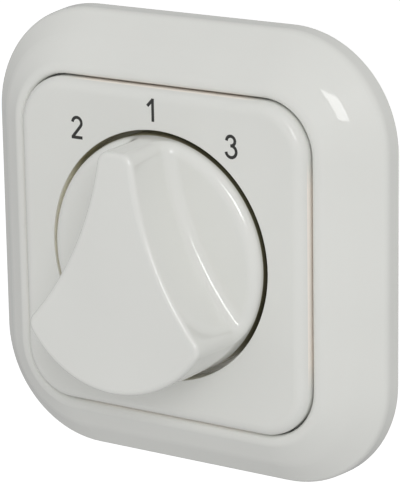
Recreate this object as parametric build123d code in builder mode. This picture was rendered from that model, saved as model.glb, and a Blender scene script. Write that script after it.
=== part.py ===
from build123d import *

import os
from math import cos, radians, sin, sqrt, tan

os.makedirs("parts", exist_ok=True)

# Three-position rotary switch for a flush wall box, in millimetres.
# The wall is the plane y = 0, the front faces -Y and +Z is up.
# A height is a distance in front of the wall, so a depth inside the wall box is negative.
# The origin is on the knob's axis, in the wall plane.

# Cover frame
frame_width = 80.0
frame_corner_r = 20.0
frame_border = 10.65
frame_wall = 2.0
frame_side_height = 3.2
frame_side_draft = 0.2
frame_edge_r = 1.8
frame_crown_height = 10.5
frame_crown_bulge = 0.5
frame_crown_r = 2.0
frame_lip_width = 1.6
frame_lip_r = 0.8
frame_slope_r = 12.0
ledge_height = 6.4
ledge_thickness = 1.6
ledge_reach = 2.8
frame_rib_thickness = 1.0
frame_rib_place = 14.0
rib_root = 0.4

# Centre plate
plate_gap = 0.3
plate_height = 12.5
plate_wall = 1.8
plate_edge_r = 2.2
well_r = 22.0
well_floor_height = 8.0
well_floor_thickness = 1.8
well_wall = 1.6
well_edge_r = 0.15
seat_r = 9.0
plate_rib_thickness = 1.2
plate_rib_drop = 3.3
floor_rib_drop = 1.6

# Knob
knob_height = 26.3
knob_clearance = 0.8
knob_draft = 1.5
knob_lift = 0.6
knob_wall = 1.9
skirt_height = 14.3
foot_r = 2.2
rim_r = 2.2
grip_slope = 3.35
grip_edge_r = 1.0
grip_nose_half = 3.4
grip_waist_half = 7.8
grip_waist_z = 4.5
grip_tail_half = 17.9
boss_r = 5.0
rib_thickness = 1.2
cross_rib_z = -12.5

# Spindle and its bearings
spindle_r = 3.0
spindle_top = 22.0
flat_depth = 1.0
flat_length = 9.0
journal_r = 2.0
running_fit = 0.05
clip_thickness = 0.4
clip_width = 3.0
clip_bow = 0.15
clip_play = 0.01
clip_inset = 0.5

# Threaded neck, washer and nut
neck_r = 5.0
neck_stand = 0.6
neck_chamfer = 0.4
flange_r = 7.4
flange_thickness = 1.5
neck_hole_clearance = 0.2
washer_r = 8.0
washer_thickness = 0.6
nut_across_flats = 14.0
nut_thickness = 2.6

# Support ring
ring_setback = 4.5
ring_thickness = 1.2
ring_lap = 1.5
ring_opening_r = 4.0
ring_notch_r = 1.5
ring_notch_place = 16.0
bead_length = 16.0
bead_width = 3.0
bead_height = 0.6
bead_place_r = 34.6
box_screw_spacing = 60.0
slot_width = 3.6
slot_length = 7.0

# Switch base and mechanism cover
base_wall = 1.0
base_corner_r = 6.0
base_edge_r = 1.0
base_depth = 20.0
bearing_boss_r = 5.5
bearing_boss_height = 1.0
guide_place = 5.6
guide_thickness = 1.2
guide_reach = 2.0
guide_start = 3.0
guide_length = 13.0
fin_reach = 1.5
core_x = 11.0
core_z = 12.4
core_width = 7.0
core_depth = 10.0
side_core_x = 15.5
side_core_height = 12.0
side_core_depth = 16.0
core_corner_r = 1.0
cover_setback = 0.5
cover_flange = 1.8
cover_edge_r = 0.5
spigot_clearance = 0.2
cover_screw_inset = 3.9
cover_screw_r = 1.0
cover_screw_length = 12.0
cover_screw_spare = 0.5
screw_head_r = 2.0
screw_head_height = 1.2
driver_slot_width = 0.6

# Index drum and its spring
drum_r = 8.5
drum_front = 3.0
drum_thickness = 5.6
arm_reach = 2.5
arm_half_angle = 14.0
arm_rear = 12.0
turn_limit = 37.0
stop_clearance = 0.6
chamber_clearance = 0.3
chamber_wall = 1.4
hub_height = 2.2
notch_r = 1.3
notch_depth = 0.9
index_leaf_thickness = 0.5
index_leaf_width = 4.0
index_leaf_half = 10.5
index_leaf_lift = 2.4
index_nose_half = 2.6
index_nose_overrun = 0.5
index_bend_r = 0.8
leaf_slot_above = 0.7
leaf_slot_below = 2.7
leaf_slot_end = 0.2

# Contacts, all let flush into the chamber floor
floor_depth = 13.2
strip_thickness = 0.8
strip_width = 2.6
rail_width = 2.0
rail_to_contact = 3.2
contact_setback = 1.4
contact_pad_r = 1.8
bridge_width = 2.8
bridge_thickness = 1.2
bridge_slot_clearance = 0.2
bridge_foot_height = 0.9
bridge_overhang = 0.5
contact_gap = 0.1
bridge_spring_r = 1.1
spring_wire = 0.4
bridge_spring_pitch = 1.0
slot_roof_depth = 6.4

# Terminals
terminal_x = 11.0
terminal_width = 6.0
terminal_length = 6.4
terminal_height = 8.0
terminal_clearance = 0.2
wire_bore_r = 1.4
wire_bore_depth = 10.4
wire_funnel_r = 1.9
terminal_screw_r = 1.2
terminal_head_r = 2.2
terminal_head_height = 1.8
terminal_screw_lift = 0.2
driver_hole_r = 2.7

# Claws that grip the wall box
claw_screw_offset = 2.1
claw_lever = 3.4
claw_pivot_depth = 2.8
claw_pin_r = 1.0
knuckle_r = 2.1
knuckle_width = 5.2
claw_thickness = 1.2
claw_arm_width = 8.0
claw_length = 19.5
claw_tab_reach = 4.4
claw_tooth = 1.2
tooth_pitch = 1.7
tooth_rise = 0.5
ear_thickness = 1.0
ear_gap = 4.6
ear_depth = 4.6
ear_half_length = 2.1
ear_corner_r = 1.2
pin_stand = 0.3
claw_screw_r = 1.45
claw_screw_head_r = 2.2
claw_screw_head_height = 1.7
claw_screw_travel = 1.0
claw_screw_spare = 0.7
claw_tip_r = 0.6
claw_tip_length = 1.2
claw_tip_gap = 0.2
claw_spring_wire = 0.5
claw_spring_turns = 2.5
coil_fit = 0.15
coil_end_gap = 0.1

# Places that follow from the sizes above: front parts
frame_opening = frame_width - 2 * frame_border
plate_width = frame_opening - 2 * plate_gap
plate_corner_r = frame_corner_r - frame_border - plate_gap
ring_width = frame_width - 2 * ring_setback
ring_corner_r = frame_corner_r - ring_setback
knob_base_r = well_r - knob_clearance
knob_base = well_floor_height + knob_lift
knob_peak = knob_height + knob_base_r * tan(radians(grip_slope))
skirt_roof = skirt_height - knob_wall
neck_top = well_floor_height + washer_thickness + nut_thickness + neck_stand
boss_bottom = neck_top + neck_stand / 2
socket_flat = spindle_r - flat_depth + clip_thickness + clip_bow + running_fit
cover_top = ring_thickness + cover_flange

# Mechanism, from the drum outwards
drum_rear = drum_front + drum_thickness
arm_r = drum_r + arm_reach
stop_half_angle = turn_limit + arm_half_angle + stop_clearance
index_leaf_z = drum_r + index_leaf_lift
contact_r = arm_r - contact_setback
rail_outer_r = contact_r - rail_to_contact
rail_inner_r = rail_outer_r - rail_width
arm_inner_r = rail_inner_r - chamber_clearance
terminal_room = terminal_length / 2 + terminal_clearance
terminal_z = arm_r + chamber_clearance + chamber_wall + terminal_room
base_half = terminal_z + terminal_room + base_wall
base_width = 2 * base_half
cover_width = base_width - 2 * cover_setback
ring_opening = base_width - 2 * ring_lap
cover_screw_place = base_half - cover_screw_inset
claw_screw_x = base_half + claw_screw_offset
claw_pivot_x = claw_screw_x + claw_lever
terminal_top_depth = floor_depth - terminal_height
journal_end = (floor_depth + base_depth) / 2
terminal_places = {
    "line": (0, terminal_z),
    "1": (0, -terminal_z),
    "2": (terminal_x, -terminal_z),
    "3": (-terminal_x, -terminal_z),
}


def knob_radius(height):
    """Radius of the knob's tapered outside at a height."""
    return knob_base_r - (height - knob_base) * tan(radians(knob_draft))


def sector(radius, half_angle):
    """Pie slice that points down, for the arm of the drum and for its room in the base."""
    reach_x = radius * sin(radians(half_angle))
    reach_z = -radius * cos(radians(half_angle))
    with BuildSketch() as pie:
        with BuildLine():
            Line((0, 0), (-reach_x, reach_z))
            ThreePointArc((-reach_x, reach_z), (0, -radius), (reach_x, reach_z))
            Line((reach_x, reach_z), (0, 0))
        make_face()
    return pie.sketch


def beside_grip():
    """What the two flanks of the grip leave away, seen from the front."""
    top_r = knob_radius(knob_height)
    nose = (grip_nose_half, sqrt(top_r**2 - grip_nose_half**2))
    waist = (grip_waist_half, grip_waist_z)
    tail = (grip_tail_half, -sqrt(top_r**2 - grip_tail_half**2))
    reach = 4 * knob_wall
    with BuildSketch() as beside:
        with BuildLine():
            flank = ThreePointArc(nose, waist, tail)
            past_nose = Line(flank @ 0, flank @ 0 - (flank % 0) * reach)
            past_tail = Line(flank @ 1, flank @ 1 + (flank % 1) * reach)
            upper = (past_nose @ 1).Y
            lower = (past_tail @ 1).Y
            far = 2 * knob_base_r
            Polyline(past_nose @ 1, (far, upper), (far, lower), past_tail @ 1)
        make_face()
        mirror(about=Plane.YZ)
    return beside.sketch


def grip_outline(inset):
    """The fan shape of the grip seen from the front, drawn in by a wall."""
    with BuildSketch() as outline:
        Circle(knob_radius(knob_height))
        add(beside_grip(), mode=Mode.SUBTRACT)
        offset(amount=-inset)
    return outline.sketch


# Stiffening ribs behind one side of the frame, between its side wall and its lip
with BuildPart() as frame_ribs:
    lip_back = frame_opening / 2 + frame_wall - rib_root
    side_back = frame_width / 2 - frame_side_draft - frame_wall + rib_root
    for rib_z in (-frame_rib_place, frame_rib_place):
        with BuildSketch(Plane.XY.offset(rib_z - frame_rib_thickness / 2)):
            with BuildLine():
                Polyline(
                    (lip_back, ledge_thickness - ledge_height),
                    (lip_back, frame_wall - frame_crown_height),
                    (side_back, frame_crown_bulge - frame_side_height),
                    (side_back, -frame_side_height / 2),
                    (lip_back, ledge_thickness - ledge_height),
                )
            make_face()
        extrude(amount=frame_rib_thickness)

# Cover frame: one section carried round the rounded square, upper half first
with BuildPart() as cover_frame:
    half = frame_width / 2
    inner = frame_opening / 2
    crown_x = inner + frame_lip_width
    shoulder_x = half - frame_side_draft
    slope_mid_x = (crown_x + shoulder_x) / 2
    slope_mid_height = (frame_crown_height + frame_side_height) / 2 + frame_crown_bulge
    with BuildLine(Plane.XZ) as frame_path:
        FilletPolyline((half, 0), (half, half), (-half, half), (-half, 0), radius=frame_corner_r)
    with BuildSketch(Plane.XY) as frame_section:
        with BuildLine():
            FilletPolyline(
                (half, 0),
                (shoulder_x, -frame_side_height),
                (slope_mid_x, -slope_mid_height),
                (crown_x, -frame_crown_height),
                (inner, -frame_crown_height),
                (inner, -ledge_height),
                (inner - ledge_reach, -ledge_height),
                (inner - ledge_reach, -ledge_height + ledge_thickness),
                (inner + frame_wall, -ledge_height + ledge_thickness),
                (inner + frame_wall, -frame_crown_height + frame_wall + frame_crown_bulge),
                (shoulder_x - frame_wall, -frame_side_height + frame_crown_bulge),
                (half - frame_wall, 0),
                (half, 0),
                radius=[
                    0, frame_edge_r, frame_slope_r, frame_crown_r, frame_lip_r,
                    0, 0, 0, 0, 0, 0, 0,
                ],
            )
        make_face()
    sweep(path=frame_path.wire())
    mirror(about=Plane.XY)
    for turn in (0, 90, 180, 270):
        add(frame_ribs.part, rotation=(0, turn, 0))
cover_frame.part.label = "cover_frame"
export_step(cover_frame.part, "parts/cover_frame.step")


# Centre plate: a shallow cap with the knob's well let into it
with BuildPart() as centre_plate:
    with BuildSketch(Plane.XZ.offset(ledge_height)):
        RectangleRounded(plate_width, plate_width, plate_corner_r)
    extrude(amount=plate_height - ledge_height)
    fillet(centre_plate.faces().sort_by(Axis.Y)[0].edges(), plate_edge_r)
    with BuildSketch(Plane.XZ.offset(ledge_height)):
        cap_inside = plate_width - 2 * plate_wall
        RectangleRounded(cap_inside, cap_inside, plate_corner_r - plate_wall)
    extrude(amount=plate_height - plate_wall - ledge_height, mode=Mode.SUBTRACT)
    with BuildSketch(Plane.XZ.offset(well_floor_height - well_floor_thickness)):
        Circle(well_r + well_wall)
    extrude(amount=plate_height - plate_wall / 2 - well_floor_height + well_floor_thickness)
    with BuildSketch(Plane.XZ.offset(well_floor_height)):
        Circle(well_r)
    extrude(amount=plate_height, mode=Mode.SUBTRACT)
    well_edges = centre_plate.edges().filter_by(GeomType.CIRCLE)
    well_edges = well_edges.filter_by(lambda e: abs(e.radius - well_r) < well_edge_r)
    fillet(well_edges.sort_by(Axis.Y)[0], well_edge_r)
    cap_roof = plate_height - plate_wall
    floor_back = well_floor_height - well_floor_thickness
    corner_reach = (cap_inside / 2 - plate_corner_r + plate_wall) * sqrt(2) + plate_corner_r - plate_wall
    with BuildSketch(Plane.XZ.offset(cap_roof - plate_rib_drop)):
        with PolarLocations((well_r + corner_reach) / 2 + rib_root, 4, start_angle=45):
            Rectangle(corner_reach - well_r, plate_rib_thickness)
    extrude(amount=plate_rib_drop + rib_root)
    with BuildSketch(Plane.XZ.offset(floor_back - floor_rib_drop)):
        with PolarLocations((seat_r + well_r) / 2, 4, start_angle=45):
            Rectangle(well_r - seat_r + rib_root, plate_rib_thickness)
    extrude(amount=floor_rib_drop + rib_root)
    with BuildSketch(Plane.XZ.offset(cover_top)):
        Circle(seat_r)
    extrude(amount=floor_back - cover_top)
    with BuildSketch(Plane.XZ.offset(cover_top)):
        Circle(neck_r + neck_hole_clearance)
    extrude(amount=well_floor_height, mode=Mode.SUBTRACT)
centre_plate.part.label = "centre_plate"
export_step(centre_plate.part, "parts/centre_plate.step")


# The grip's front face, which slopes down to the nose
front_plane = Plane(
    (0, -knob_height, 0),
    x_dir=(1, 0, 0),
    z_dir=(0, -cos(radians(grip_slope)), sin(radians(grip_slope))),
)

# What the flanks take off the knob, with the round of the grip's foot on it
with BuildPart() as flank_room:
    with BuildSketch(Plane.XZ.offset(skirt_height)):
        add(beside_grip())
    extrude(amount=knob_height)
    foot_edges = flank_room.faces().sort_by(Axis.Y)[-2:].edges()
    foot_edges = foot_edges.filter_by(lambda e: abs(e.center().X) < 0.9 * knob_base_r)
    fillet(foot_edges, foot_r)

# The knob's hollow: a round room in the skirt and a fan-shaped one in the grip
with BuildPart() as knob_hollow:
    with BuildSketch(Plane.XZ.offset(knob_base)):
        Circle(knob_radius(skirt_roof) - knob_wall)
    extrude(amount=skirt_roof - knob_base)
    with BuildSketch(Plane.XZ.offset(skirt_roof)):
        add(grip_outline(knob_wall))
    extrude(amount=knob_peak - skirt_roof)
    split(bisect_by=front_plane.offset(-knob_wall), keep=Keep.BOTTOM)

# The knob's core: the boss on the spindle and the ribs that tie it to the grip's walls
with BuildPart() as knob_core:
    with BuildSketch(Plane.XZ.offset(boss_bottom)):
        Circle(boss_r)
    extrude(amount=knob_peak - boss_bottom)
    with BuildSketch(Plane.XZ.offset(skirt_roof)):
        Rectangle(rib_thickness, 2 * knob_base_r)
        with Locations((0, cross_rib_z)):
            Rectangle(2 * knob_base_r, rib_thickness)
        add(grip_outline(knob_wall / 2), mode=Mode.INTERSECT)
    extrude(amount=knob_peak - skirt_roof)
    split(bisect_by=front_plane.offset(-knob_wall / 2), keep=Keep.BOTTOM)

# Knob
with BuildPart() as knob:
    with BuildSketch(Plane.XY):
        with BuildLine():
            Polyline(
                (0, -knob_base),
                (knob_base_r, -knob_base),
                (knob_radius(knob_peak), -knob_peak),
                (0, -knob_peak),
                (0, -knob_base),
            )
        make_face()
    revolve(axis=Axis.Y)
    add(flank_room.part, mode=Mode.SUBTRACT)
    split(bisect_by=front_plane, keep=Keep.BOTTOM)
    outside = knob.faces().filter_by(GeomType.CONE).sort_by(SortBy.AREA)[-1]
    rim_edges = outside.edges().filter_by(GeomType.CIRCLE)
    fillet(rim_edges.filter_by(lambda e: e.center().Y < -skirt_roof), rim_r)
    fillet(knob.faces().sort_by(Axis.Y)[0].edges(), grip_edge_r)
    add(knob_hollow.part, mode=Mode.SUBTRACT)
    add(knob_core.part)
    flat_start = spindle_top - flat_length + running_fit
    with BuildSketch(Plane.XZ.offset(boss_bottom)):
        Circle(spindle_r + running_fit)
    extrude(amount=flat_start - boss_bottom, mode=Mode.SUBTRACT)
    with BuildSketch(Plane.XZ.offset(flat_start)):
        Circle(spindle_r + running_fit)
        with Locations((0, -socket_flat - spindle_r)):
            Rectangle(2 * boss_r, 2 * spindle_r, mode=Mode.SUBTRACT)
    extrude(amount=spindle_top + running_fit - flat_start, mode=Mode.SUBTRACT)
knob.part.label = "knob"
export_step(knob.part, "parts/knob.step")


# Spindle: turned bar with a flat at the front end and a journal at the rear
with BuildPart() as spindle:
    with BuildSketch(Plane.XZ.offset(-drum_rear)):
        Circle(spindle_r)
    extrude(amount=spindle_top + drum_rear)
    with BuildSketch(Plane.XZ.offset(-journal_end)):
        Circle(journal_r)
    extrude(amount=journal_end - drum_rear)
    with BuildSketch(Plane.XZ.offset(spindle_top - flat_length)):
        with Locations((0, -spindle_r)):
            Rectangle(2 * spindle_r, 2 * flat_depth)
    extrude(amount=flat_length, mode=Mode.SUBTRACT)
spindle.part.label = "spindle"
export_step(spindle.part, "parts/spindle.step")


# Knob clip: a bowed leaf between the spindle's flat and the wall of the socket
with BuildPart() as knob_clip:
    leaf_front = spindle_top - clip_inset
    leaf_rear = spindle_top - flat_length + clip_inset
    leaf_z = -spindle_r + flat_depth - clip_thickness / 2 - clip_play
    with BuildSketch(Plane.YZ.offset(-clip_width / 2)):
        with BuildLine():
            leaf = ThreePointArc(
                (-leaf_front, leaf_z),
                (-(leaf_front + leaf_rear) / 2, leaf_z - clip_bow),
                (-leaf_rear, leaf_z),
            )
        trace(leaf, line_width=clip_thickness)
    extrude(amount=clip_width)
knob_clip.part.label = "knob_clip"
export_step(knob_clip.part, "parts/knob_clip.step")


# Threaded bush: the neck that the plate is clamped on, with a flange behind the cover
with BuildPart() as threaded_bush:
    with BuildSketch(Plane.XZ):
        Circle(flange_r)
    extrude(amount=-flange_thickness)
    with BuildSketch(Plane.XZ):
        Circle(neck_r)
    extrude(amount=neck_top)
    chamfer(threaded_bush.edges().filter_by(GeomType.CIRCLE).sort_by(Axis.Y)[0], neck_chamfer)
    with BuildSketch(Plane.XZ.offset(-flange_thickness)):
        Circle(spindle_r + running_fit)
    extrude(amount=neck_top + flange_thickness, mode=Mode.SUBTRACT)
threaded_bush.part.label = "threaded_bush"
export_step(threaded_bush.part, "parts/threaded_bush.step")


# Lock washer and fixing nut, under the knob
with BuildPart() as lock_washer:
    with BuildSketch(Plane.XZ.offset(well_floor_height)):
        Circle(washer_r)
        Circle(neck_r + neck_hole_clearance, mode=Mode.SUBTRACT)
    extrude(amount=washer_thickness)
lock_washer.part.label = "lock_washer"
export_step(lock_washer.part, "parts/lock_washer.step")

with BuildPart() as fixing_nut:
    with BuildSketch(Plane.XZ.offset(well_floor_height + washer_thickness)):
        RegularPolygon(nut_across_flats / 2, 6, major_radius=False)
        Circle(neck_r, mode=Mode.SUBTRACT)
    extrude(amount=nut_thickness)
fixing_nut.part.label = "fixing_nut"
export_step(fixing_nut.part, "parts/fixing_nut.step")


# Support ring: sheet steel with slots for the box screws and ears for the claws
with BuildPart() as support_ring:
    with BuildSketch(Plane.XZ):
        RectangleRounded(ring_width, ring_width, ring_corner_r)
        RectangleRounded(ring_opening, ring_opening, ring_opening_r, mode=Mode.SUBTRACT)
        with Locations((-box_screw_spacing / 2, 0), (box_screw_spacing / 2, 0)):
            SlotOverall(slot_length, slot_width, mode=Mode.SUBTRACT)
        with Locations((0, -box_screw_spacing / 2), (0, box_screw_spacing / 2)):
            SlotOverall(slot_length, slot_width, rotation=90, mode=Mode.SUBTRACT)
        with Locations((-claw_screw_x, 0), (claw_screw_x, 0)):
            Circle(claw_screw_r + running_fit, mode=Mode.SUBTRACT)
        with PolarLocations(ring_width / 2, 4):
            with Locations((0, -ring_notch_place), (0, ring_notch_place)):
                Circle(ring_notch_r, mode=Mode.SUBTRACT)
    extrude(amount=ring_thickness)
    with BuildSketch(Plane.XZ.offset(ring_thickness)):
        with PolarLocations(bead_place_r, 4, start_angle=45):
            SlotOverall(bead_length, bead_width, rotation=90)
    extrude(amount=bead_height)
    with BuildSketch(Plane.XZ):
        with PolarLocations(bead_place_r, 4, start_angle=45):
            SlotOverall(bead_length - ring_thickness, bead_width - ring_thickness, rotation=90)
    extrude(amount=bead_height, mode=Mode.SUBTRACT)
    for side in (-1, 1):
        for ear_side in (-1, 1):
            ear_z = ear_side * (ear_gap + ear_thickness / 2) - ear_thickness / 2
            with BuildSketch(Plane.XY.offset(ear_z)):
                with BuildLine():
                    ear_x = side * claw_pivot_x
                    FilletPolyline(
                        (ear_x - ear_half_length, 0),
                        (ear_x + ear_half_length, 0),
                        (ear_x + ear_half_length, ear_depth),
                        (ear_x - ear_half_length, ear_depth),
                        (ear_x - ear_half_length, 0),
                        radius=[0, 0, ear_corner_r, ear_corner_r],
                    )
                make_face()
                with Locations((ear_x, claw_pivot_depth)):
                    Circle(claw_pin_r, mode=Mode.SUBTRACT)
            extrude(amount=ear_thickness)
support_ring.part.label = "support_ring"
export_step(support_ring.part, "parts/support_ring.step")


# Mechanism cover: flange in front of the ring, spigot through its opening
with BuildPart() as mechanism_cover:
    spigot = ring_opening - 2 * spigot_clearance
    with BuildSketch(Plane.XZ):
        RectangleRounded(spigot, spigot, ring_opening_r)
    extrude(amount=ring_thickness)
    with BuildSketch(Plane.XZ.offset(ring_thickness)):
        RectangleRounded(cover_width, cover_width, base_corner_r)
    extrude(amount=cover_flange)
    fillet(mechanism_cover.faces().sort_by(Axis.Y)[0].edges(), cover_edge_r)
    with BuildSketch(Plane.XZ):
        Circle(neck_r + running_fit)
        with Locations(*terminal_places.values()):
            Circle(driver_hole_r)
        with GridLocations(2 * cover_screw_place, 2 * cover_screw_place, 2, 2):
            Circle(cover_screw_r + neck_hole_clearance)
    extrude(amount=cover_top, mode=Mode.SUBTRACT)
mechanism_cover.part.label = "mechanism_cover"
export_step(mechanism_cover.part, "parts/mechanism_cover.step")

# Cover screws: four alike, through the cover into the base
with BuildPart() as cover_screws:
    with BuildSketch(Plane.XZ.offset(cover_top)):
        with GridLocations(2 * cover_screw_place, 2 * cover_screw_place, 2, 2):
            Circle(screw_head_r)
    extrude(amount=screw_head_height)
    with BuildSketch(Plane.XZ.offset(cover_top)):
        with GridLocations(2 * cover_screw_place, 2 * cover_screw_place, 2, 2):
            Circle(cover_screw_r)
    extrude(amount=-cover_screw_length)
    with BuildSketch(Plane.XZ.offset(cover_top + screw_head_height)):
        with GridLocations(2 * cover_screw_place, 2 * cover_screw_place, 2, 2):
            Rectangle(2 * screw_head_r, driver_slot_width, rotation=30)
    extrude(amount=-screw_head_height / 2, mode=Mode.SUBTRACT)
cover_screws.part.label = "cover_screws"
export_step(cover_screws.part, "parts/cover_screws.step")


# Contacts: flat brass, with strips that run under the terminals
with BuildPart() as common_rail:
    with BuildSketch(Plane.XZ.offset(-floor_depth)):
        Circle(rail_outer_r)
        with Locations((0, (terminal_z + terminal_length / 2) / 2)):
            Rectangle(strip_width, terminal_z + terminal_length / 2)
        Circle(rail_inner_r, mode=Mode.SUBTRACT)
    extrude(amount=-strip_thickness)
common_rail.part.label = "common_rail"
export_step(common_rail.part, "parts/common_rail.step")

fixed_contacts = {}
for name, side in (("1", 0), ("2", 1), ("3", -1)):
    with BuildPart() as contact:
        pad_x = side * contact_r * sin(radians(turn_limit))
        pad_z = -contact_r * cos(radians(side * turn_limit))
        end_x, end_z = terminal_places[name]
        with BuildSketch(Plane.XZ.offset(-floor_depth)):
            with Locations((pad_x, pad_z)):
                Circle(contact_pad_r)
            with BuildLine():
                lead = Polyline(
                    (pad_x, pad_z),
                    (end_x, end_z + terminal_length / 2),
                    (end_x, end_z - terminal_length / 2),
                )
            trace(lead, line_width=strip_width)
        extrude(amount=-strip_thickness)
    contact.part.label = f"contact_{name}"
    export_step(contact.part, f"parts/contact_{name}.step")
    fixed_contacts[name] = contact


# Switch base: moulded block with the drum's chamber, terminal pockets and contact grooves
with BuildPart() as switch_base:
    with BuildSketch(Plane.XZ):
        RectangleRounded(base_width, base_width, base_corner_r)
    extrude(amount=-base_depth)
    fillet(switch_base.faces().sort_by(Axis.Y)[-1].edges(), base_edge_r)
    with BuildSketch(Plane.XZ.offset(-guide_start)):
        with Locations((0, -guide_place), (0, guide_place)):
            Rectangle(base_width + 2 * guide_reach, guide_thickness)
        with Locations((-guide_place, 0), (guide_place, 0)):
            Rectangle(guide_thickness, base_width + 2 * fin_reach)
    extrude(amount=-guide_length)
    with BuildSketch(Plane.XZ.offset(-base_depth)):
        Circle(bearing_boss_r)
    extrude(amount=-bearing_boss_height)
    with BuildSketch(Plane.XZ.offset(-base_depth)):
        with Locations((-core_x, core_z), (core_x, core_z)):
            RectangleRounded(core_width, core_width, core_corner_r)
    extrude(amount=core_depth, mode=Mode.SUBTRACT)
    with BuildSketch(Plane.XZ.offset(-base_depth)):
        with Locations((-side_core_x, 0), (side_core_x, 0)):
            RectangleRounded(core_width, side_core_height, core_corner_r)
    extrude(amount=side_core_depth, mode=Mode.SUBTRACT)
    with BuildSketch(Plane.XZ):
        Circle(drum_r + chamber_clearance)
        add(sector(arm_r + chamber_clearance, stop_half_angle))
    extrude(amount=-floor_depth, mode=Mode.SUBTRACT)
    with BuildSketch(Plane.XZ):
        with Locations((0, index_leaf_z + (leaf_slot_above - leaf_slot_below) / 2)):
            Rectangle(2 * (index_leaf_half + leaf_slot_end), leaf_slot_above + leaf_slot_below)
    extrude(amount=-drum_rear, mode=Mode.SUBTRACT)
    with BuildSketch(Plane.XZ):
        with Locations(*terminal_places.values()):
            Rectangle(
                terminal_width + 2 * terminal_clearance,
                terminal_length + 2 * terminal_clearance,
            )
    extrude(amount=-floor_depth, mode=Mode.SUBTRACT)
    with BuildSketch(Plane.XZ.offset(-floor_depth)):
        Circle(arm_inner_r - chamber_clearance)
    extrude(amount=hub_height)
    with BuildSketch(Plane.XZ):
        Circle(journal_r + running_fit)
    extrude(amount=-journal_end - neck_hole_clearance, mode=Mode.SUBTRACT)
    for x, z in terminal_places.values():
        side = 1 if z > 0 else -1
        with BuildSketch(Plane.XY.offset(side * base_half)):
            with Locations((x, wire_bore_depth)):
                Circle(wire_funnel_r)
        extrude(amount=-side * (base_half - terminal_z), mode=Mode.SUBTRACT)
    with BuildSketch(Plane.XZ):
        with GridLocations(2 * cover_screw_place, 2 * cover_screw_place, 2, 2):
            Circle(cover_screw_r)
    extrude(amount=-(cover_screw_length - cover_top + cover_screw_spare), mode=Mode.SUBTRACT)
    add(common_rail.part, mode=Mode.SUBTRACT)
    for contact in fixed_contacts.values():
        add(contact.part, mode=Mode.SUBTRACT)
switch_base.part.label = "switch_base"
export_step(switch_base.part, "parts/switch_base.step")


# Terminal blocks: brass, cross-bored for the wire and for its screw
for name, (x, z) in terminal_places.items():
    with BuildPart() as terminal:
        with BuildSketch(Plane.XZ.offset(-floor_depth)):
            with Locations((x, z)):
                Rectangle(terminal_width, terminal_length)
        extrude(amount=terminal_height)
        with BuildSketch(Plane.XY.offset(z - terminal_length / 2)):
            with Locations((x, wire_bore_depth)):
                Circle(wire_bore_r)
        extrude(amount=terminal_length, mode=Mode.SUBTRACT)
        with BuildSketch(Plane.XZ.offset(-terminal_top_depth)):
            with Locations((x, z)):
                Circle(terminal_screw_r)
        extrude(amount=-(wire_bore_depth - terminal_top_depth), mode=Mode.SUBTRACT)
    terminal.part.label = f"terminal_{name}"
    export_step(terminal.part, f"parts/terminal_{name}.step")

# Terminal screws: four alike, turned back to leave the bores open
with BuildPart() as terminal_screws:
    seat = terminal_screw_lift - terminal_top_depth
    with BuildSketch(Plane.XZ.offset(seat)):
        with Locations(*terminal_places.values()):
            Circle(terminal_head_r)
    extrude(amount=terminal_head_height)
    with BuildSketch(Plane.XZ.offset(seat)):
        with Locations(*terminal_places.values()):
            Circle(terminal_screw_r)
    extrude(amount=-(wire_bore_depth - wire_bore_r - terminal_top_depth))
    with BuildSketch(Plane.XZ.offset(seat + terminal_head_height)):
        with Locations(*terminal_places.values()):
            Rectangle(2 * terminal_head_r, driver_slot_width, rotation=45)
    extrude(amount=-terminal_head_height / 2, mode=Mode.SUBTRACT)
terminal_screws.part.label = "terminal_screws"
export_step(terminal_screws.part, "parts/terminal_screws.step")


# Contact bridge: two feet, one on the common rail and one on a fixed contact
bridge_top = -floor_depth + contact_gap + bridge_foot_height + bridge_thickness
foot_inner = (rail_inner_r + rail_outer_r) / 2
bridge_ends = (foot_inner - bridge_overhang, contact_r + bridge_overhang)
with BuildPart() as contact_bridge:
    with BuildSketch(Plane.XZ.offset(bridge_top)):
        with Locations((0, -sum(bridge_ends) / 2)):
            Rectangle(bridge_width, bridge_ends[1] - bridge_ends[0])
    extrude(amount=-bridge_thickness)
    for foot_z in (-foot_inner, -contact_r):
        with BuildSketch(Plane.XZ.offset(bridge_top - bridge_thickness)):
            with Locations((0, foot_z)):
                Circle(bridge_overhang)
        extrude(amount=-bridge_foot_height)
contact_bridge.part.label = "contact_bridge"
export_step(contact_bridge.part, "parts/contact_bridge.step")


# Index drum: three notches at the top, and the arm that carries the bridge below
with BuildPart() as index_drum:
    with BuildSketch(Plane.XZ.offset(-drum_front)):
        Circle(drum_r)
        add(sector(arm_r, arm_half_angle))
        for turn in (-turn_limit, 0, turn_limit):
            notch_centre = drum_r + notch_r - notch_depth
            notch_x = notch_centre * sin(radians(turn))
            notch_z = notch_centre * cos(radians(turn))
            with Locations((notch_x, notch_z)):
                Circle(notch_r, mode=Mode.SUBTRACT)
    extrude(amount=-drum_thickness)
    with BuildSketch(Plane.XZ.offset(-drum_rear)):
        add(sector(arm_r, arm_half_angle))
        Circle(arm_inner_r, mode=Mode.SUBTRACT)
    extrude(amount=-(arm_rear - drum_rear))
    with BuildSketch(Plane.XZ.offset(-arm_rear)):
        with Locations((0, -sum(bridge_ends) / 2)):
            Rectangle(
                bridge_width + 2 * bridge_slot_clearance,
                bridge_ends[1] - bridge_ends[0] + 2 * bridge_slot_clearance,
            )
    extrude(amount=arm_rear - slot_roof_depth, mode=Mode.SUBTRACT)
    with BuildSketch(Plane.XZ.offset(-drum_front)):
        Circle(spindle_r)
    extrude(amount=-drum_thickness, mode=Mode.SUBTRACT)
index_drum.part.label = "index_drum"
export_step(index_drum.part, "parts/index_drum.step")


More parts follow.
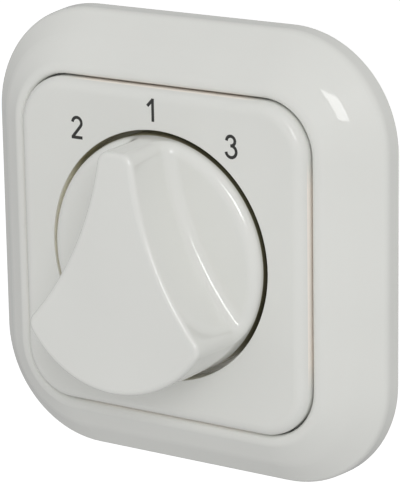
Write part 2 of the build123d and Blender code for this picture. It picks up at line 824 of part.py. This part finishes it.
# Bridge spring, in the arm's slot behind the bridge
with BuildPart() as bridge_spring:
    spring_length = -slot_roof_depth - bridge_top - spring_wire
    spring_start = bridge_top + spring_wire / 2
    spring_z = -sum(bridge_ends) / 2
    with BuildLine() as coil:
        Helix(
            bridge_spring_pitch,
            spring_length,
            bridge_spring_r,
            center=(0, -spring_start, spring_z),
            direction=(0, -1, 0),
        )
    with BuildSketch(Plane(coil.line @ 0, z_dir=coil.line % 0)):
        RegularPolygon(spring_wire / 2, 6)
    sweep(path=coil.line, is_frenet=True)
bridge_spring.part.label = "bridge_spring"
export_step(bridge_spring.part, "parts/bridge_spring.step")


# Index spring: leaf held at both ends, its nose in the drum's middle notch
with BuildPart() as index_spring:
    nose_z = drum_r - notch_depth + index_leaf_thickness / 2 + contact_gap
    leaf_start = (drum_front + drum_rear - index_leaf_width) / 2
    with BuildSketch(Plane.XZ.offset(-leaf_start)):
        with BuildLine():
            leaf = FilletPolyline(
                (-index_leaf_half, index_leaf_z),
                (-index_nose_half, index_leaf_z),
                (0, nose_z - index_nose_overrun),
                (index_nose_half, index_leaf_z),
                (index_leaf_half, index_leaf_z),
                radius=index_bend_r,
            )
        trace(leaf, line_width=index_leaf_thickness)
    extrude(amount=-index_leaf_width)
index_spring.part.label = "index_spring"
export_step(index_spring.part, "parts/index_spring.step")


# Right claw: rolled knuckle, tab for the screw and toothed arm; the left one is its mirror
with BuildPart() as claw_right:
    tab_front = claw_pivot_depth - claw_thickness / 2
    arm_end = claw_pivot_depth + claw_length
    with BuildSketch(Plane.XY.offset(-knuckle_width / 2)):
        with Locations((claw_pivot_x, claw_pivot_depth)):
            Circle(knuckle_r)
        with Locations((claw_pivot_x - claw_tab_reach / 2, claw_pivot_depth)):
            Rectangle(claw_tab_reach, claw_thickness)
        with Locations((claw_pivot_x, claw_pivot_depth + claw_length / 4)):
            Rectangle(claw_thickness, claw_length / 2)
        with Locations((claw_pivot_x, claw_pivot_depth)):
            Circle(claw_pin_r + running_fit, mode=Mode.SUBTRACT)
    extrude(amount=knuckle_width)
    with BuildSketch(Plane.XY.offset(-claw_arm_width / 2)):
        outer_x = claw_pivot_x + claw_thickness / 2
        inner_x = claw_pivot_x - claw_thickness / 2
        with BuildLine():
            Polyline(
                (inner_x, ear_depth + claw_thickness),
                (outer_x, ear_depth + claw_thickness),
                (outer_x, arm_end - 2 * tooth_pitch),
                (outer_x + claw_tooth, arm_end - 2 * tooth_pitch + tooth_rise),
                (outer_x, arm_end - tooth_pitch),
                (outer_x + claw_tooth, arm_end - tooth_pitch + tooth_rise),
                (outer_x, arm_end),
                (inner_x, arm_end),
                (inner_x, ear_depth + claw_thickness),
            )
        make_face()
    extrude(amount=claw_arm_width)

# Claw pins: one through each pair of ears
with BuildPart() as claw_pins:
    pin_half = ear_gap + ear_thickness + pin_stand
    with BuildSketch(Plane.XY.offset(-pin_half)):
        with Locations((-claw_pivot_x, claw_pivot_depth), (claw_pivot_x, claw_pivot_depth)):
            Circle(claw_pin_r)
    extrude(amount=2 * pin_half)
claw_pins.part.label = "claw_pins"
export_step(claw_pins.part, "parts/claw_pins.step")

# Right claw spring: a coil on the pin beside the knuckle
with BuildPart() as claw_spring_right:
    coil_r = claw_pin_r + coil_fit + claw_spring_wire / 2
    coil_room = ear_gap - knuckle_width / 2 - claw_spring_wire - 2 * coil_end_gap
    coil_start = knuckle_width / 2 + coil_end_gap + claw_spring_wire / 2
    with BuildLine() as coil:
        Helix(
            coil_room / claw_spring_turns,
            coil_room,
            coil_r,
            center=(claw_pivot_x, claw_pivot_depth, coil_start),
        )
    with BuildSketch(Plane(coil.line @ 0, z_dir=coil.line % 0)):
        RegularPolygon(claw_spring_wire / 2, 6)
    sweep(path=coil.line, is_frenet=True)

# Right claw screw, in the ring's tapped hole, its tip just off the claw's tab
with BuildPart() as claw_screw_right:
    head_seat = ring_thickness + claw_screw_travel + claw_screw_spare
    tip_end = -tab_front + claw_tip_gap
    with BuildSketch(Plane.XZ.offset(head_seat)):
        with Locations((claw_screw_x, 0)):
            Circle(claw_screw_head_r)
    extrude(amount=claw_screw_head_height)
    with BuildSketch(Plane.XZ.offset(head_seat)):
        with Locations((claw_screw_x, 0)):
            Circle(claw_screw_r)
    extrude(amount=-(head_seat - tip_end - claw_tip_length))
    with BuildSketch(Plane.XZ.offset(tip_end)):
        with Locations((claw_screw_x, 0)):
            Circle(claw_tip_r)
    extrude(amount=claw_tip_length)
    with BuildSketch(Plane.XZ.offset(head_seat + claw_screw_head_height)):
        with Locations((claw_screw_x, 0)):
            Rectangle(2 * claw_screw_head_r, driver_slot_width)
    extrude(amount=-claw_screw_head_height / 2, mode=Mode.SUBTRACT)

# Each claw set comes right and left
for name, right in (
    ("claw", claw_right),
    ("claw_spring", claw_spring_right),
    ("claw_screw", claw_screw_right),
):
    right.part.label = f"{name}_right"
    export_step(right.part, f"parts/{name}_right.step")
    with BuildPart() as left:
        mirror(right.part, about=Plane.YZ)
    left.part.label = f"{name}_left"
    export_step(left.part, f"parts/{name}_left.step")
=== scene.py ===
from math import cos, pi, radians, sin

import bpy
from mathutils import Matrix, Vector


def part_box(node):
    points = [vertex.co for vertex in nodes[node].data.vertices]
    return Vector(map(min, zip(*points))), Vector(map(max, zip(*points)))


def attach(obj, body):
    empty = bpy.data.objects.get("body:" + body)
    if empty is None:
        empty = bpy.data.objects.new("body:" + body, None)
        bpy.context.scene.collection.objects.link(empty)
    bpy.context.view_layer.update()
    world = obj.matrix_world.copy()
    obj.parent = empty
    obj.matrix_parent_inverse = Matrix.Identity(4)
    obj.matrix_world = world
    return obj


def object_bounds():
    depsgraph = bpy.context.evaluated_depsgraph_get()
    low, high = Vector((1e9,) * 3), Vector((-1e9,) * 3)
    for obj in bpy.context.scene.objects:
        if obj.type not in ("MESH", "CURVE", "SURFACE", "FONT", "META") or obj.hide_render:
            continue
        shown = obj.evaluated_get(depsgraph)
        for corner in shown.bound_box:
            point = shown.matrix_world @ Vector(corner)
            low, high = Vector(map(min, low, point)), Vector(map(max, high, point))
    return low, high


MM = 0.001

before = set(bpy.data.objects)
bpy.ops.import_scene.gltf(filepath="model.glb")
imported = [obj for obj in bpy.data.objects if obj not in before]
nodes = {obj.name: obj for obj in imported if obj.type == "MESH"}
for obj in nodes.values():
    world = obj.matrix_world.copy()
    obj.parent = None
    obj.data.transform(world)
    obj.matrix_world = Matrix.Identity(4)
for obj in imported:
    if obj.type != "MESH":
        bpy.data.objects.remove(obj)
cad_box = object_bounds()

# Front face of the centre plate, and its right edge
plate_low, plate_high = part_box("centre_plate")
plate_face = plate_low.y
plate_edge = plate_high.x

# Colours, as linear values
OFF_WHITE = (0.81, 0.815, 0.78)
BASE_GREY = (0.30, 0.31, 0.31)
COVER_GREY = (0.42, 0.43, 0.43)
NATURAL_WHITE = (0.62, 0.60, 0.53)
ZINC = (0.62, 0.64, 0.66)
SPRING_STEEL = (0.48, 0.47, 0.45)
BRASS = (0.72, 0.52, 0.24)
INK = (0.021, 0.021, 0.019)
WHITE = (1.0, 1.0, 1.0)
BLACK = (0.0, 0.0, 0.0)

# The middle range of a noise, where most of its values lie
NOISE_LOW = 0.3
NOISE_HIGH = 0.7

# Glossy plastic: how strongly it bends light. Metal: how much rougher its tarnish is
PLASTIC_IOR = 1.53
TARNISH = 0.14

# Camera, found from the square frame and the round well in the photograph. The focal length
# is in pixels of the photo, whose height fills the sensor, in millimetres. The view reaches
# past the ends of the floor
VIEW_AZIMUTH = radians(33.62)
VIEW_ELEVATION = radians(15.25)
VIEW_ROLL = radians(-0.94)
VIEW_DISTANCE = 503 * MM
VIEW_TARGET = Vector((0.31, 0.0, -0.27)) * MM
FOCAL_PIXELS = 2887
PHOTO_HEIGHT = 483
SENSOR = 36
VIEW_REACH = 100.0

# Printed digits: width of the stroke, and how far the ink stands on the plate
STROKE_WIDTH = 0.56 * MM
INK_PROUD = 0.02 * MM

# Painted light and painted shade in the round gap beside the knob: where they start behind the
# plate's face, where they are full, and how far out they reach. On each wall a light tone,
# painted light, turns into a dark one, painted shade, towards a clock angle, between two
# distances from the middle
GAP_TOP = 0.1 * MM
GAP_DEEP = 0.3 * MM
GAP_RADIUS = 22.2 * MM
WELL_GAP_LIGHT_AND_SHADE = {
    "clear": (0.95, 0.94, 0.88), "painted_shade": (0.44, 0.41, 0.27),
    "towards": radians(42), "start": -4 * MM, "end": 0.5 * MM,
}
SKIRT_GAP_LIGHT_AND_SHADE = {
    "clear": (0.92, 0.87, 0.62), "painted_shade": (0.12, 0.112, 0.07),
    "towards": radians(67), "start": -5 * MM, "end": 15 * MM,
}

# Painted light in the narrow seam round the plate, a warm tone as from light through the thin
# edges: the line in the seam that it follows, how far it reaches to both sides of that line,
# where it starts behind the plate's face and where it is full, and between which distances from
# the middle of a side it fades out towards the corner
SEAM_LINE = plate_edge + 0.1 * MM
SEAM_REACH = 0.22 * MM
SEAM_TOP = 0.6 * MM
SEAM_DEEP = 1.0 * MM
SEAM_STRAIGHT = 15 * MM
SEAM_CORNER = 20 * MM
SEAM_PAINTED_LIGHT = (0.97, 0.91, 0.84)

# Brightness of the room in front of the switch and behind it. It changes between two values
# of a direction's y, which is -1 straight to the front and 1 straight to the back
ROOM_FRONT = 0.63
ROOM_BACK = 0.42
ROOM_TURN_START = -0.1
ROOM_TURN_END = 0.3

# The floor under the switch as it hangs on its wall
FLOOR_DROP = 80 * MM
FLOOR_SIZE = 60.0
FLOOR_GLOW = 0.55

# Key lamp, a square softbox that faces the switch
KEY_PLACE = Vector((0.56, -0.66, 0.50))
KEY_SIZE = 0.4
KEY_POWER = 3.0

# The lit front of the softbox as the gloss of the plastic shows it: its corners at the lower
# left, lower right, upper left and upper right
PANEL_CORNERS = (
    (0.552, -0.760, 0.342),
    (0.750, -0.595, 0.289),
    (0.256, -0.667, 0.700),
    (0.597, -0.581, 0.553),
)
PANEL_GLOW = 5.2


def new_material(name):
    """A new material; gives the material, its node tree and its Principled shader."""
    material = bpy.data.materials.new(name)
    material.use_nodes = True
    tree = material.node_tree
    return material, tree, tree.nodes["Principled BSDF"]


def object_place(tree):
    """Each point's place on the object, in metres."""
    return tree.nodes.new("ShaderNodeTexCoord").outputs["Object"]


def split(tree, vector):
    """The x, y and z of a vector."""
    node = tree.nodes.new("ShaderNodeSeparateXYZ")
    tree.links.new(vector, node.inputs["Vector"])
    return node.outputs


def calculate(tree, operation, *values, kind="ShaderNodeMath", result="Value"):
    """One step of arithmetic, on numbers and on what other nodes give."""
    node = tree.nodes.new(kind)
    node.operation = operation
    for entry, value in zip(node.inputs, values):
        if isinstance(value, bpy.types.NodeSocket):
            tree.links.new(value, entry)
        else:
            entry.default_value = value
    return node.outputs[result]


def object_noise(tree, scale, detail):
    """Noise in the object's own metres."""
    noise = tree.nodes.new("ShaderNodeTexNoise")
    noise.inputs["Scale"].default_value = scale
    noise.inputs["Detail"].default_value = detail
    tree.links.new(object_place(tree), noise.inputs["Vector"])
    return noise.outputs["Fac"]


def between(tree, source, low, high, start=NOISE_LOW, end=NOISE_HIGH):
    """Low where the source is at start, high where it is at end, and even in between."""
    spread = tree.nodes.new("ShaderNodeMapRange")
    spread.inputs["From Min"].default_value = start
    spread.inputs["From Max"].default_value = end
    spread.inputs["To Min"].default_value = low
    spread.inputs["To Max"].default_value = high
    tree.links.new(source, spread.inputs["Value"])
    return spread.outputs["Result"]


def mottled(tree, source, colour, darkest, lightest):
    """The colour, times darkest to lightest as a noise goes from low to high."""
    ramp = tree.nodes.new("ShaderNodeValToRGB")
    stops = zip(ramp.color_ramp.elements, (NOISE_LOW, NOISE_HIGH), (darkest, lightest))
    for stop, position, share in stops:
        stop.position = position
        stop.color = (*(part * share for part in colour), 1)
    tree.links.new(source, ramp.inputs["Fac"])
    return ramp.outputs["Color"]


def overlay(tree, colours, mask, colour):
    """Lays one colour over the others where the mask is 1."""
    laid = tree.nodes.new("ShaderNodeMix")
    laid.data_type = "RGBA"
    laid.inputs["B"].default_value = (*colour, 1)
    tree.links.new(mask, laid.inputs["Factor"])
    tree.links.new(colours, laid.inputs["A"])
    return laid.outputs["Result"]


def add_bump(tree, shader, source, depth, strength):
    """Raises and lowers the surface by a noise."""
    bump = tree.nodes.new("ShaderNodeBump")
    bump.inputs["Strength"].default_value = strength
    bump.inputs["Distance"].default_value = depth
    tree.links.new(source, bump.inputs["Height"])
    tree.links.new(bump.outputs["Normal"], shader.inputs["Normal"])


def glow(shader, strength):
    """White light from the surface itself."""
    shader.inputs["Emission Color"].default_value = (*WHITE, 1)
    shader.inputs["Emission Strength"].default_value = strength


def depth_mask(tree, place, top, deep):
    """0 down to top behind the plate's face, and 1 from deep on."""
    y = split(tree, place)["Y"]
    return between(tree, y, low=0.0, high=1.0, start=plate_face + top, end=plate_face + deep)


def gap_masks(tree, towards, start, end):
    """Two masks for the gap beside the knob, where its painted light and painted shade go: all
    round, and on the side towards an angle.
    """
    place = object_place(tree)
    flat = calculate(
        tree, "MULTIPLY", place, (1, 0, 1), kind="ShaderNodeVectorMath", result="Vector"
    )
    radius = calculate(tree, "LENGTH", flat, kind="ShaderNodeVectorMath")
    within = calculate(tree, "LESS_THAN", radius, GAP_RADIUS)
    all_round = calculate(tree, "MULTIPLY", within, depth_mask(tree, place, GAP_TOP, GAP_DEEP))
    direction = (sin(towards), 0, cos(towards))
    reach = calculate(tree, "DOT_PRODUCT", flat, direction, kind="ShaderNodeVectorMath")
    side = between(tree, reach, low=0.0, high=1.0, start=start, end=end)
    return all_round, calculate(tree, "MULTIPLY", all_round, side)


def seam_mask(tree):
    """1 on the straight walls of the seam between plate and frame, where the painted light
    goes, and 0 elsewhere.
    """
    place = object_place(tree)
    sides = split(tree, place)
    across = [calculate(tree, "ABSOLUTE", sides[axis]) for axis in ("X", "Z")]
    outward = calculate(tree, "MAXIMUM", *across)
    along = calculate(tree, "MINIMUM", *across)
    near = calculate(tree, "COMPARE", outward, SEAM_LINE, SEAM_REACH)
    straight = between(tree, along, low=1.0, high=0.0, start=SEAM_STRAIGHT, end=SEAM_CORNER)
    wall = calculate(tree, "MULTIPLY", near, straight)
    return calculate(tree, "MULTIPLY", wall, depth_mask(tree, place, SEAM_TOP, SEAM_DEEP))


def gloss_plastic(name, colour, shine=0.5, gap=None, seam=None):
    """Polished moulding: even colour, faint flow marks and a very shallow orange peel."""
    material, tree, shader = new_material(name)
    flow = object_noise(tree, scale=45.0, detail=2.0)
    colours = mottled(tree, flow, colour, darkest=0.985, lightest=1.01)
    # Painted light all round the gap beside the knob, and painted shade on its side towards an
    # angle
    if gap:
        all_round, one_side = gap_masks(tree, gap["towards"], gap["start"], gap["end"])
        colours = overlay(tree, colours, all_round, gap["clear"])
        colours = overlay(tree, colours, one_side, gap["painted_shade"])
    # Painted light: a warm tone on the walls of the seam
    if seam:
        colours = overlay(tree, colours, seam_mask(tree), seam)
    tree.links.new(colours, shader.inputs["Base Color"])
    handled = object_noise(tree, scale=160.0, detail=4.0)
    rough = between(tree, handled, low=0.05, high=0.09)
    tree.links.new(rough, shader.inputs["Roughness"])
    peel = object_noise(tree, scale=900.0, detail=2.0)
    add_bump(tree, shader, peel, depth=0.004 * MM, strength=0.25)
    shader.inputs["Specular IOR Level"].default_value = shine
    shader.inputs["IOR"].default_value = PLASTIC_IOR
    return material


def matte_plastic(name, colour):
    """Eroded mould surface: fine grain that breaks up the shine."""
    material, tree, shader = new_material(name)
    cloud = object_noise(tree, scale=70.0, detail=3.0)
    colours = mottled(tree, cloud, colour, darkest=0.93, lightest=1.05)
    tree.links.new(colours, shader.inputs["Base Color"])
    grain = object_noise(tree, scale=2600.0, detail=4.0)
    rough = between(tree, grain, low=0.42, high=0.62)
    tree.links.new(rough, shader.inputs["Roughness"])
    add_bump(tree, shader, grain, depth=0.03 * MM, strength=0.5)
    return material


def plated_steel(name, colour):
    """Zinc on sheet steel: faint crystals, each in its own tone, and fine rolling lines."""
    material, tree, shader = new_material(name)
    crystals = tree.nodes.new("ShaderNodeTexVoronoi")
    crystals.inputs["Scale"].default_value = 1300.0
    tree.links.new(object_place(tree), crystals.inputs["Vector"])
    patch = tree.nodes.new("ShaderNodeSeparateColor")
    tree.links.new(crystals.outputs["Color"], patch.inputs["Color"])
    colours = mottled(tree, patch.outputs["Red"], colour, darkest=0.92, lightest=1.04)
    tree.links.new(colours, shader.inputs["Base Color"])
    rough = between(tree, patch.outputs["Green"], low=0.32, high=0.42, start=0.0, end=1.0)
    tree.links.new(rough, shader.inputs["Roughness"])
    scratches = object_noise(tree, scale=1800.0, detail=5.0)
    add_bump(tree, shader, scratches, depth=0.01 * MM, strength=0.4)
    shader.inputs["Metallic"].default_value = 1.0
    return material


def turned_metal(name, colour, polish):
    """Turned or stamped metal: drawn lines and light tarnish."""
    material, tree, shader = new_material(name)
    tarnish = object_noise(tree, scale=220.0, detail=4.0)
    colours = mottled(tree, tarnish, colour, darkest=0.86, lightest=1.06)
    tree.links.new(colours, shader.inputs["Base Color"])
    rough = between(tree, tarnish, low=polish, high=polish + TARNISH)
    tree.links.new(rough, shader.inputs["Roughness"])
    lines = object_noise(tree, scale=2400.0, detail=4.0)
    add_bump(tree, shader, lines, depth=0.01 * MM, strength=0.35)
    shader.inputs["Metallic"].default_value = 1.0
    return material


def printed_ink(name, colour):
    """Pad-printed ink, a little uneven in its cover."""
    material, tree, shader = new_material(name)
    cover = object_noise(tree, scale=1500.0, detail=3.0)
    colours = mottled(tree, cover, colour, darkest=0.8, lightest=1.35)
    tree.links.new(colours, shader.inputs["Base Color"])
    rough = between(tree, cover, low=0.35, high=0.5)
    tree.links.new(rough, shader.inputs["Roughness"])
    return material


def floor_paint(name):
    """Pale matte paint, lit evenly."""
    material, tree, shader = new_material(name)
    cloud = object_noise(tree, scale=2.0, detail=3.0)
    colours = mottled(tree, cloud, WHITE, darkest=0.93, lightest=0.96)
    tree.links.new(colours, shader.inputs["Base Color"])
    shader.inputs["Roughness"].default_value = 0.9
    glow(shader, FLOOR_GLOW)
    return material


def panel_light(name):
    """A surface that only glows."""
    material, _, shader = new_material(name)
    shader.inputs["Base Color"].default_value = (*BLACK, 1)
    glow(shader, PANEL_GLOW)
    return material


def dress(names, material):
    """Gives the CAD nodes a better material in place of their plain one."""
    for name in names:
        mesh = nodes[name].data
        mesh.materials.clear()
        mesh.materials.append(material)


def arc(centre, radius, start, end, steps=14):
    """Points along an arc, with its angles in degrees."""
    angles = [radians(start + (end - start) * step / steps) for step in range(steps + 1)]
    return [(centre[0] + radius * cos(a), centre[1] + radius * sin(a)) for a in angles]


def print_digit(digit, strokes, ink):
    """Draws the strokes as round tubes and presses them nearly flat on the plate."""
    bpy.ops.object.select_all(action="DESELECT")
    bpy.ops.curve.primitive_bezier_curve_add()
    pen = bpy.context.object.data
    pen.splines.clear()
    for points in strokes:
        stroke = pen.splines.new("POLY")
        stroke.points.add(len(points) - 1)
        for point, (x, z) in zip(stroke.points, points):
            point.co = (x * MM, z * MM, 0, 1)
    pen.bevel_depth = STROKE_WIDTH / 2
    pen.use_fill_caps = True
    bpy.ops.object.convert(target="MESH")
    piece = bpy.context.object
    piece.name = f"digit_{digit}"
    pressed = Matrix.Diagonal((1, 1, 2 * INK_PROUD / STROKE_WIDTH, 1))
    upright = Matrix.Rotation(pi / 2, 4, "X")
    piece.data.transform(pressed)
    piece.data.transform(Matrix.Translation((0, plate_face, 0)) @ upright)
    piece.data.materials.clear()
    piece.data.materials.append(ink)
    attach(piece, "base")


# Materials of the CAD nodes
# Frame and plate get painted light in the seam; plate and knob get painted light and painted
# shade in the gap beside the knob
dress(["cover_frame"], gloss_plastic("frame_plastic", OFF_WHITE, seam=SEAM_PAINTED_LIGHT))
dress(["centre_plate"], gloss_plastic("plate_plastic", OFF_WHITE, gap=WELL_GAP_LIGHT_AND_SHADE, seam=SEAM_PAINTED_LIGHT))
dress(["knob"], gloss_plastic("knob_plastic", OFF_WHITE, shine=0.9, gap=SKIRT_GAP_LIGHT_AND_SHADE))
dress(["switch_base"], matte_plastic("base_plastic", BASE_GREY))
dress(["mechanism_cover"], matte_plastic("cover_plastic", COVER_GREY))
dress(["index_drum"], matte_plastic("drum_plastic", NATURAL_WHITE))
dress(
    [
        "support_ring", "lock_washer", "fixing_nut", "cover_screws", "terminal_screws",
        "claw_right", "claw_left", "claw_pins", "claw_screw_right", "claw_screw_left",
    ],
    plated_steel("zinc_steel", ZINC),
)
dress(
    ["knob_clip", "bridge_spring", "index_spring", "claw_spring_right", "claw_spring_left"],
    turned_metal("spring_steel", SPRING_STEEL, polish=0.22),
)
dress(["spindle"], turned_metal("spindle_steel", ZINC, polish=0.25))
dress(["threaded_bush"], turned_metal("bush_brass", BRASS, polish=0.25))
dress(
    [
        "common_rail", "contact_1", "contact_2", "contact_3", "contact_bridge",
        "terminal_line", "terminal_1", "terminal_2", "terminal_3",
    ],
    turned_metal("contact_brass", BRASS, polish=0.2),
)

# Digits, printed on the plate beside the well: the strokes of a pen, in millimetres
DIGITS = {
    "2": [
        arc((-16.37, 21.58), 0.93, 176, -38) + [(-17.34, 19.0)],
        [(-17.56, 18.97), (-15.27, 18.97)],
    ],
    "1": [[(-1.62, 26.15), (-0.45, 27.36)], [(-0.53, 27.5), (-0.53, 23.5)]],
    "3": [arc((15.06, 21.98), 0.83, 180, -95), arc((15.12, 20.17), 1.01, 95, -174)],
}
digit_ink = printed_ink("digit_ink", INK)
for digit, strokes in DIGITS.items():
    print_digit(digit, strokes, digit_ink)

# Plain pale floor, which neither lights the switch nor shows in its gloss
bpy.ops.object.select_all(action="DESELECT")
bpy.ops.mesh.primitive_plane_add(size=FLOOR_SIZE, location=(0, 0, cad_box[0][2] - FLOOR_DROP))
floor = bpy.context.object
floor.name = "floor"
floor.data.materials.append(floor_paint("floor_paint"))
floor.visible_diffuse = False
floor.visible_glossy = False

# Soft surroundings, a little darker behind the switch
world = bpy.data.worlds.new("studio")
bpy.context.scene.world = world
world.use_nodes = True
room = world.node_tree
direction = room.nodes.new("ShaderNodeTexCoord").outputs["Generated"]
room_light = between(
    room, split(room, direction)["Y"], low=ROOM_FRONT, high=ROOM_BACK,
    start=ROOM_TURN_START, end=ROOM_TURN_END,
)
sky = room.nodes["Background"]
sky.inputs["Color"].default_value = (*WHITE, 1)
room.links.new(room_light, sky.inputs["Strength"])
bpy.context.scene.view_settings.view_transform = "Standard"

# Key lamp; the gloss shows the panel below instead
key_lamp = bpy.data.lights.new("key_softbox", "AREA")
key_lamp.shape = "SQUARE"
key_lamp.size = KEY_SIZE
key_lamp.energy = KEY_POWER
key = bpy.data.objects.new("key_softbox", key_lamp)
bpy.context.scene.collection.objects.link(key)
key.location = KEY_PLACE
key.rotation_euler = KEY_PLACE.to_track_quat("Z", "Y").to_euler()
key.visible_glossy = False

# Panel that the gloss reflects
bpy.ops.object.select_all(action="DESELECT")
bpy.ops.mesh.primitive_plane_add()
panel = bpy.context.object
panel.name = "softbox_front"
for vertex, corner in zip(panel.data.vertices, PANEL_CORNERS):
    vertex.co = corner
panel.data.materials.append(panel_light("softbox_glow"))
panel.visible_camera = False

# Camera
eye = Vector((
    sin(VIEW_AZIMUTH) * cos(VIEW_ELEVATION),
    -cos(VIEW_AZIMUTH) * cos(VIEW_ELEVATION),
    sin(VIEW_ELEVATION),
))
level = Vector((cos(VIEW_AZIMUTH), sin(VIEW_AZIMUTH), 0))
upright = eye.cross(level)
rolled_right = cos(VIEW_ROLL) * level + sin(VIEW_ROLL) * upright
rolled_up = cos(VIEW_ROLL) * upright - sin(VIEW_ROLL) * level
camera_data = bpy.data.cameras.new("camera")
camera_data.sensor_width = SENSOR
camera_data.lens = FOCAL_PIXELS * SENSOR / PHOTO_HEIGHT
camera_data.clip_end = VIEW_REACH
camera = bpy.data.objects.new("camera", camera_data)
bpy.context.scene.collection.objects.link(camera)
turn = Matrix((rolled_right, rolled_up, eye)).transposed().to_4x4()
camera.matrix_world = Matrix.Translation(VIEW_TARGET + eye * VIEW_DISTANCE) @ turn
bpy.context.scene.camera = camera
